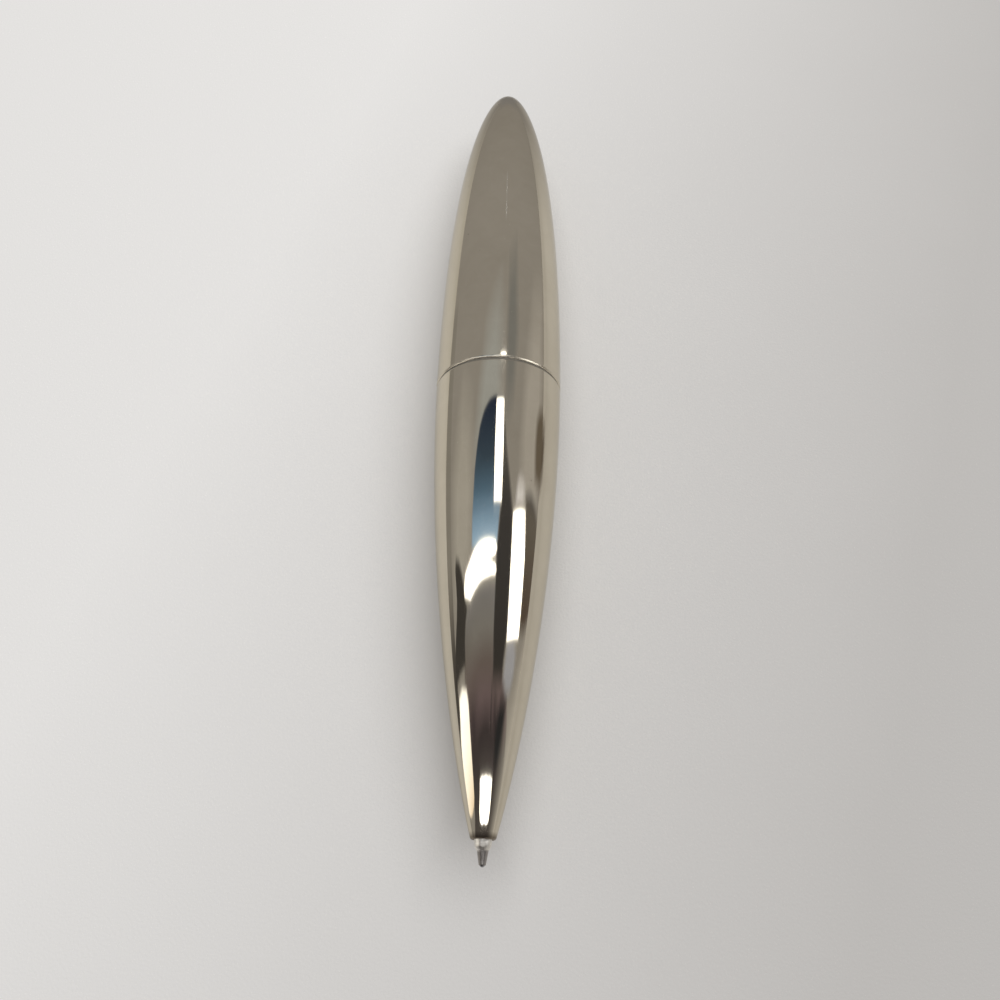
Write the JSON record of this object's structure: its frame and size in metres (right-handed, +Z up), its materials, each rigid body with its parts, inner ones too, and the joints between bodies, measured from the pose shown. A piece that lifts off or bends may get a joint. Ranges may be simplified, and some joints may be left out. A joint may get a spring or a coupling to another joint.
{
  "type": "magnetic pen",
  "caption": "Polished torpedo-shaped twist ballpoint pen that parts at a thin seam round its belly, with a cam-driven sprung refill and a magnet under the end of its tail.",
  "frame": {"origin": "on the surface that the pen lies on, below its axis and under the middle of its whole length", "axes": "+Y runs along the pen's axis from the writing tip to the tail, +Z is up, and +X is to the right for someone who looks from the tip to the tail"},
  "size_m": [0.018, 0.124, 0.018],
  "materials": {
    "polished_barrel": "polished",
    "seam_black": "satin",
    "brass": "satin",
    "black_plastic": "matte",
    "black_rubber": "satin",
    "spring_steel": "satin",
    "liner_metal": "satin",
    "ivory_plastic": "satin",
    "magnet_plating": "satin",
    "pin_steel": "satin",
    "refill_steel": "satin",
    "tip_metal": "satin",
    "ball_carbide": "polished",
    "grey_plastic": "satin",
    "ink_paste": "gloss"
  },
  "bodies": {
    "core": {"centre_bush": "brass", "seam_washer": "seam_black", "friction_o_ring": "black_rubber", "retaining_ring": "spring_steel", "guide_tube": "brass", "spring": "spring_steel"},
    "lower": {"lower_barrel": "polished_barrel", "threaded_collar": "brass", "refill_guide": "black_plastic"},
    "upper": {"upper_barrel": "polished_barrel", "upper_liner": "liner_metal", "cam_sleeve": "ivory_plastic", "drive_plug": "liner_metal", "magnet": "magnet_plating", "magnet_holder": "black_plastic"},
    "refill": {"refill_tube": "refill_steel", "refill_tip": "tip_metal", "refill_plug": "grey_plastic", "ink": "ink_paste", "plunger": "ivory_plastic", "cross_pin": "pin_steel"},
    "ball": {"writing_ball": "ball_carbide"}
  },
  "joints": [
    {"name": "twist", "type": "hinge", "parent": "core", "child": "upper", "pos_m": [0, 0, 0.009], "axis": [0, 1, 0], "range_deg": [0, 150]},
    {"name": "refill_slide", "type": "slide", "parent": "core", "child": "refill", "axis": [0, 1, 0], "range_m": [0, 0.0044], "deforming": ["spring"]},
    {"name": "barrel_pull", "type": "slide", "parent": "core", "child": "lower", "axis": [0, -1, 0], "range_m": [0, 0.07]},
    {"name": "ball_roll", "type": "hinge", "parent": "refill", "child": "ball", "pos_m": [0, -0.06165, 0.009], "axis": [1, 0, 0], "continuous": true}
  ],
  "couplings": [
    {"joint": "twist", "follows": "refill_slide", "rad_per_m": 594.98}
  ]
}
